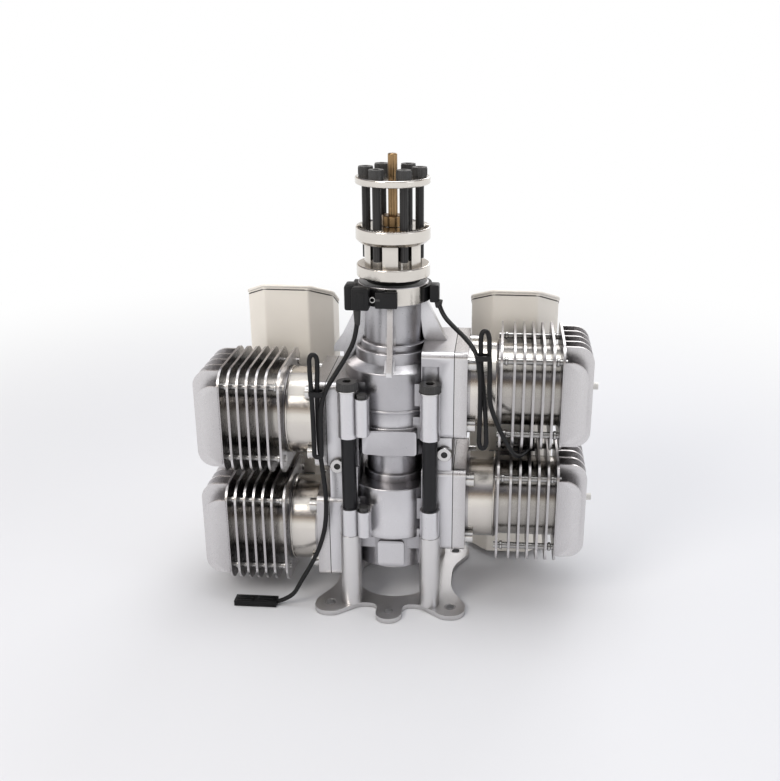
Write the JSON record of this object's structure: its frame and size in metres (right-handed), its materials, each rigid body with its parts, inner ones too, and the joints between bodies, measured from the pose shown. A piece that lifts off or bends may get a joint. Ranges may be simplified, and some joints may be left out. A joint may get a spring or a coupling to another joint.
{
  "type": "flat_four_aero_engine",
  "caption": "Flat boxer petrol engine for a large model aeroplane, upright on its firewall plate: finned cylinders in opposed pairs, two box mufflers and a bare propeller hub.",
  "frame": {"origin": "On the crankshaft's axis, at the underside of the mounting plate, in the middle of its four screw holes", "axes": "+Z along the crankshaft from the plate to the propeller end, +X along the right cylinders, -Y the side away from carburettors and mufflers"},
  "size_m": [0.25, 0.1575, 0.2785],
  "materials": {
    "plate_alloy": "satin machined",
    "case_alloy": "bead blasted casting",
    "fin_alloy": "satin machined",
    "bright_alloy": "polished",
    "piston_alloy": "turned",
    "carb_alloy": "die cast",
    "black_steel": "black oxide",
    "black_sleeve": "black anodised",
    "ground_steel": "ground",
    "bright_steel": "plated",
    "bronze": "dull bronze",
    "muffler_steel": "satin warm",
    "white_ceramic": "glazed",
    "seal_rubber": "dark",
    "black_plastic": "moulded",
    "lead_sheath": "flexible sheath"
  },
  "bodies": {
    "root": {"mount_plate": "plate_alloy", "mount_posts": "plate_alloy", "through_studs": "black_steel", "stud_sleeves": "black_sleeve", "small_screws": "black_steel", "rear_cover": "case_alloy", "mid_crankcase": "case_alloy", "front_crankcase": "case_alloy", "crank_bearings": "ground_steel", "seals_and_gaskets": "seal_rubber", "cylinder_bolts": "bright_steel", "plug_shells": "bright_steel", "plug_insulators": "white_ceramic", "muffler_left": "muffler_steel", "muffler_right": "muffler_steel", "muffler_bolts": "bright_steel", "reed_blocks": "black_plastic", "front_carburettor": "carb_alloy", "rear_carburettor": "carb_alloy", "carburettor_covers": "bright_alloy", "sensor_clamp": "black_plastic", "pickup_sensors": "black_plastic", "left_lead_upper": "lead_sheath", "left_lead_lower": "lead_sheath", "left_lead_hank": "lead_sheath", "right_lead_upper": "lead_sheath", "right_lead_lower": "lead_sheath", "right_lead_hank": "lead_sheath", "lead_ties": "black_plastic", "left_connector": "black_plastic", "right_connector": "black_plastic", "rear_left_cylinder": "fin_alloy", "rear_right_cylinder": "fin_alloy", "front_left_cylinder": "fin_alloy", "front_right_cylinder": "fin_alloy"},
    "crank": {"crankshaft": "ground_steel", "prop_hub": "bright_alloy", "prop_washer": "bright_alloy", "prop_bolts": "black_steel", "centre_stud": "bronze"},
    "rear_left_piston_body": {"rear_left_piston": "piston_alloy", "rear_left_pin_and_rings": "ground_steel"},
    "rear_left_rod_body": {"rear_left_con_rod": "ground_steel", "rear_left_crankpin": "ground_steel"},
    "rear_right_piston_body": {"rear_right_piston": "piston_alloy", "rear_right_pin_and_rings": "ground_steel"},
    "rear_right_rod_body": {"rear_right_con_rod": "ground_steel", "rear_right_crankpin": "ground_steel"},
    "front_left_piston_body": {"front_left_piston": "piston_alloy", "front_left_pin_and_rings": "ground_steel"},
    "front_left_rod_body": {"front_left_con_rod": "ground_steel", "front_left_crankpin": "ground_steel"},
    "front_right_piston_body": {"front_right_piston": "piston_alloy", "front_right_pin_and_rings": "ground_steel"},
    "front_right_rod_body": {"front_right_con_rod": "ground_steel", "front_right_crankpin": "ground_steel"},
    "front_throttle_body": {"front_throttle": "bright_steel"},
    "front_choke_body": {"front_choke": "bright_steel"},
    "rear_throttle_body": {"rear_throttle": "bright_steel"},
    "rear_choke_body": {"rear_choke": "bright_steel"}
  },
  "joints": [
    {"name": "crank_turn", "type": "hinge", "parent": "root", "child": "crank", "pos_m": [0, 0, 0.2078], "axis": [0, 0, 1], "continuous": true},
    {"name": "rear_left_stroke", "type": "slide", "parent": "root", "child": "rear_left_piston_body", "axis": [-1, 0, 0], "range_m": [0, 0.03]},
    {"name": "rear_left_swing", "type": "hinge", "parent": "rear_left_piston_body", "child": "rear_left_rod_body", "pos_m": [-0.045, 0, 0.045], "axis": [0, 0, 1], "range_deg": [-14.5, 14.5]},
    {"name": "rear_right_stroke", "type": "slide", "parent": "root", "child": "rear_right_piston_body", "axis": [1, 0, 0], "range_m": [0, 0.03]},
    {"name": "rear_right_swing", "type": "hinge", "parent": "rear_right_piston_body", "child": "rear_right_rod_body", "pos_m": [0.045, 0, 0.066], "axis": [0, 0, 1], "range_deg": [-14.5, 14.5]},
    {"name": "front_left_stroke", "type": "slide", "parent": "root", "child": "front_left_piston_body", "axis": [1, 0, 0], "range_m": [0, 0.03]},
    {"name": "front_left_swing", "type": "hinge", "parent": "front_left_piston_body", "child": "front_left_rod_body", "pos_m": [-0.075, 0, 0.12], "axis": [0, 0, 1], "range_deg": [-14.5, 14.5]},
    {"name": "front_right_stroke", "type": "slide", "parent": "root", "child": "front_right_piston_body", "axis": [-1, 0, 0], "range_m": [0, 0.03]},
    {"name": "front_right_swing", "type": "hinge", "parent": "front_right_piston_body", "child": "front_right_rod_body", "pos_m": [0.075, 0, 0.141], "axis": [0, 0, 1], "range_deg": [-14.5, 14.5]},
    {"name": "front_throttle_turn", "type": "hinge", "parent": "root", "child": "front_throttle_body", "pos_m": [0, 0.0535, 0.131], "axis": [-1, 0, 0], "range_deg": [0, 75]},
    {"name": "front_choke_turn", "type": "hinge", "parent": "root", "child": "front_choke_body", "pos_m": [0, 0.0705, 0.131], "axis": [1, 0, 0], "range_deg": [0, 75]},
    {"name": "rear_throttle_turn", "type": "hinge", "parent": "root", "child": "rear_throttle_body", "pos_m": [0, 0.0535, 0.056], "axis": [-1, 0, 0], "range_deg": [0, 75]},
    {"name": "rear_choke_turn", "type": "hinge", "parent": "root", "child": "rear_choke_body", "pos_m": [0, 0.0705, 0.056], "axis": [1, 0, 0], "range_deg": [0, 75]}
  ],
  "couplings": [
    {"joint": "front_right_stroke", "follows": "front_left_stroke", "ratio": 1},
    {"joint": "front_right_swing", "follows": "front_left_swing", "ratio": 1},
    {"joint": "rear_right_stroke", "follows": "rear_left_stroke", "ratio": 1},
    {"joint": "rear_right_swing", "follows": "rear_left_swing", "ratio": 1},
    {"joint": "rear_throttle_turn", "follows": "front_throttle_turn", "ratio": 1}
  ]
}
